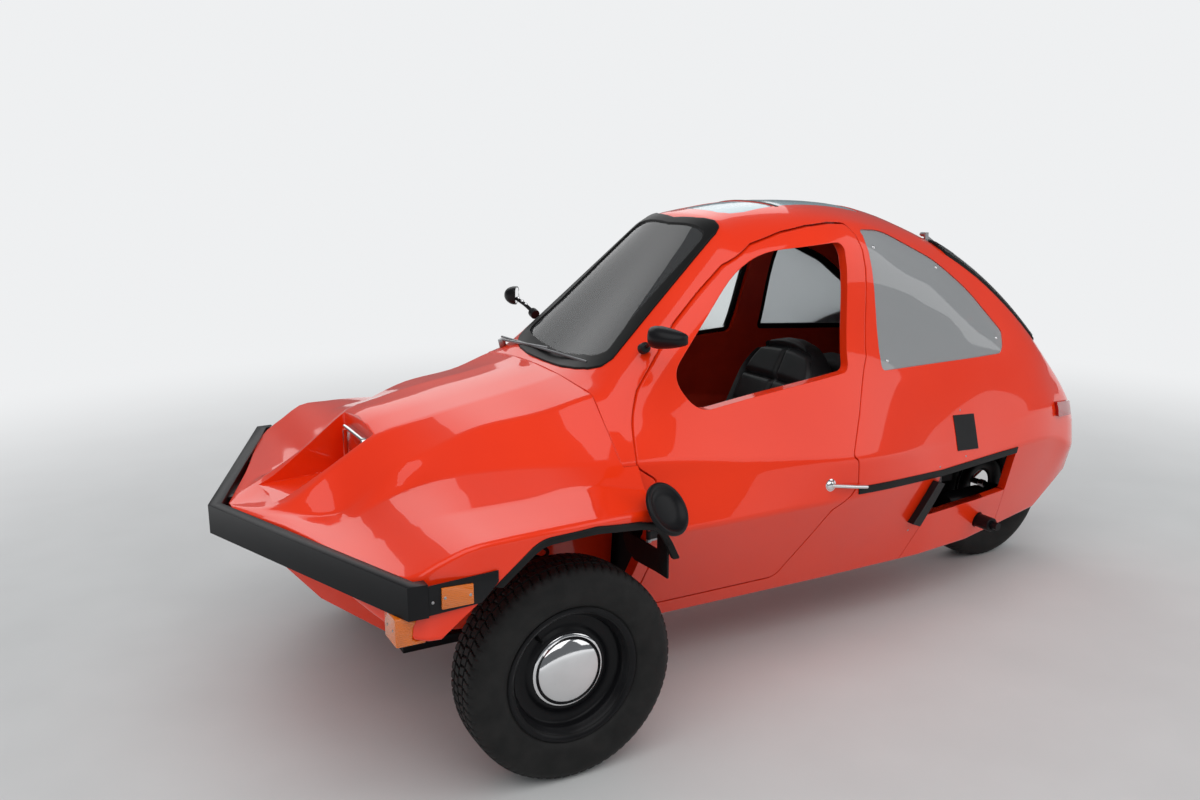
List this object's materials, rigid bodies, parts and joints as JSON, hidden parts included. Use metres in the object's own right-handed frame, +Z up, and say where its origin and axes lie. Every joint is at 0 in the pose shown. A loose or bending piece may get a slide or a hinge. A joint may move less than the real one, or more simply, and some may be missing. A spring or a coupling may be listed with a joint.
{
  "type": "three-wheeled microcar",
  "caption": "Wedge-shaped three-wheeled microcar: steered front wheels, driven rear wheel, side door, see-through roof panels and a black V-shaped front bumper",
  "frame": {"origin": "on the ground under the middle of the vehicle's length and width", "axes": "+X forward, +Y to the vehicle's left, +Z up"},
  "size_m": [3.07, 1.512, 1.316],
  "materials": {
    "orange_body": "gloss moulded fibreglass",
    "black_trim": "satin black",
    "black_rubber": "matt",
    "clear_pane": "polished",
    "roof_pane": "polished, tinted pale blue",
    "amber_lens": "moulded, ribbed",
    "red_lens": "moulded, ribbed",
    "tyre_rubber": "matt",
    "black_steel": "semi-gloss black",
    "bright_metal": "polished",
    "plain_steel": "dull",
    "cast_metal": "as cast",
    "black_vinyl": "vinyl",
    "inner_panel": "plain"
  },
  "bodies": {
    "body": {"arch_trim": "black_rubber", "body_upper": "orange_body", "chassis_frame": "black_steel", "dashboard": "black_trim", "engine_block": "cast_metal", "engine_latch": "black_trim", "engine_side_panel": "orange_body", "exhaust": "plain_steel", "fender_discs": "black_trim", "firewall": "inner_panel", "front_axle": "black_steel", "front_bumper": "black_trim", "hatch_brackets": "plain_steel", "hatch_seal": "black_rubber", "headlight_bezel": "bright_metal", "headlight_lens": "clear_pane", "hinge_pins": "black_steel", "lower_tub": "orange_body", "marker_lenses": "amber_lens", "marker_plates": "black_trim", "mirrors": "black_trim", "mud_flaps": "black_rubber", "nose_shell": "orange_body", "nose_tub": "orange_body", "quarter_window_left": "clear_pane", "quarter_window_right": "clear_pane", "rear_bumper": "black_rubber", "rear_deck": "inner_panel", "rear_marker_lamps": "red_lens", "rear_swingarm": "black_steel", "roof_panel_front": "roof_pane", "roof_panel_rear": "roof_pane", "seat_back": "black_vinyl", "seat_base": "black_steel", "seat_cushion": "black_vinyl", "side_window_glass": "clear_pane", "side_window_seal": "black_rubber", "steering_column": "black_steel", "turn_signals": "amber_lens", "waist_strips": "black_rubber", "windscreen_glass": "clear_pane", "windscreen_seal": "black_rubber", "wiper": "black_trim"},
    "knuckle_left": {"knuckle_left": "plain_steel"},
    "knuckle_right": {"knuckle_right": "plain_steel"},
    "wheel_front_left": {"tyre_front_left": "tyre_rubber", "rim_front_left": "black_steel", "hub_cap_front_left": "bright_metal"},
    "wheel_front_right": {"tyre_front_right": "tyre_rubber", "rim_front_right": "black_steel", "hub_cap_front_right": "bright_metal"},
    "wheel_rear": {"tyre_rear": "tyre_rubber", "rim_rear": "black_steel"},
    "tie_rod": {"tie_rod": "plain_steel"},
    "steering_wheel": {"steering_wheel": "black_trim"},
    "door_left": {"door_left": "orange_body", "hinge_sleeves": "black_steel", "door_handle": "bright_metal"},
    "rear_hatch": {"hatch_glass": "clear_pane", "hatch_leaves": "plain_steel"}
  },
  "joints": [
    {"name": "steer_left", "type": "hinge", "parent": "body", "child": "knuckle_left", "pos_m": [0.841, 0.5, 0.268], "axis": [0, 0, 1], "range_deg": [-26, 26]},
    {"name": "steer_right", "type": "hinge", "parent": "body", "child": "knuckle_right", "pos_m": [0.841, -0.5, 0.268], "axis": [0, 0, 1], "range_deg": [-26, 26]},
    {"name": "tie_rod_pivot", "type": "hinge", "parent": "knuckle_left", "child": "tie_rod", "pos_m": [0.721, 0.5, 0.246], "axis": [0, 0, 1], "range_deg": [-26, 26]},
    {"name": "steering_wheel_turn", "type": "hinge", "parent": "body", "child": "steering_wheel", "pos_m": [0.33322, 0, 0.82], "axis": [-0.866, 0, 0.5], "range_deg": [-208, 208]},
    {"name": "spin_front_left", "type": "hinge", "parent": "knuckle_left", "child": "wheel_front_left", "pos_m": [0.841, 0.6, 0.268], "axis": [0, 1, 0], "continuous": true},
    {"name": "spin_front_right", "type": "hinge", "parent": "knuckle_right", "child": "wheel_front_right", "pos_m": [0.841, -0.6, 0.268], "axis": [0, 1, 0], "continuous": true},
    {"name": "spin_rear", "type": "hinge", "parent": "body", "child": "wheel_rear", "pos_m": [-1.157, 0, 0.268], "axis": [0, 1, 0], "continuous": true},
    {"name": "door_left_hinge", "type": "hinge", "parent": "body", "child": "door_left", "pos_m": [0.579, 0.556, 0.57], "axis": [0, 0, -1], "range_deg": [0, 60]},
    {"name": "hatch_hinge", "type": "hinge", "parent": "body", "child": "rear_hatch", "pos_m": [-0.714, 0, 1.19724], "axis": [0, 1, 0], "range_deg": [0, 60]}
  ],
  "couplings": [
    {"joint": "steer_right", "follows": "steer_left", "ratio": 1},
    {"joint": "tie_rod_pivot", "follows": "steer_left", "ratio": -1},
    {"joint": "steering_wheel_turn", "follows": "steer_left", "ratio": 8}
  ]
}
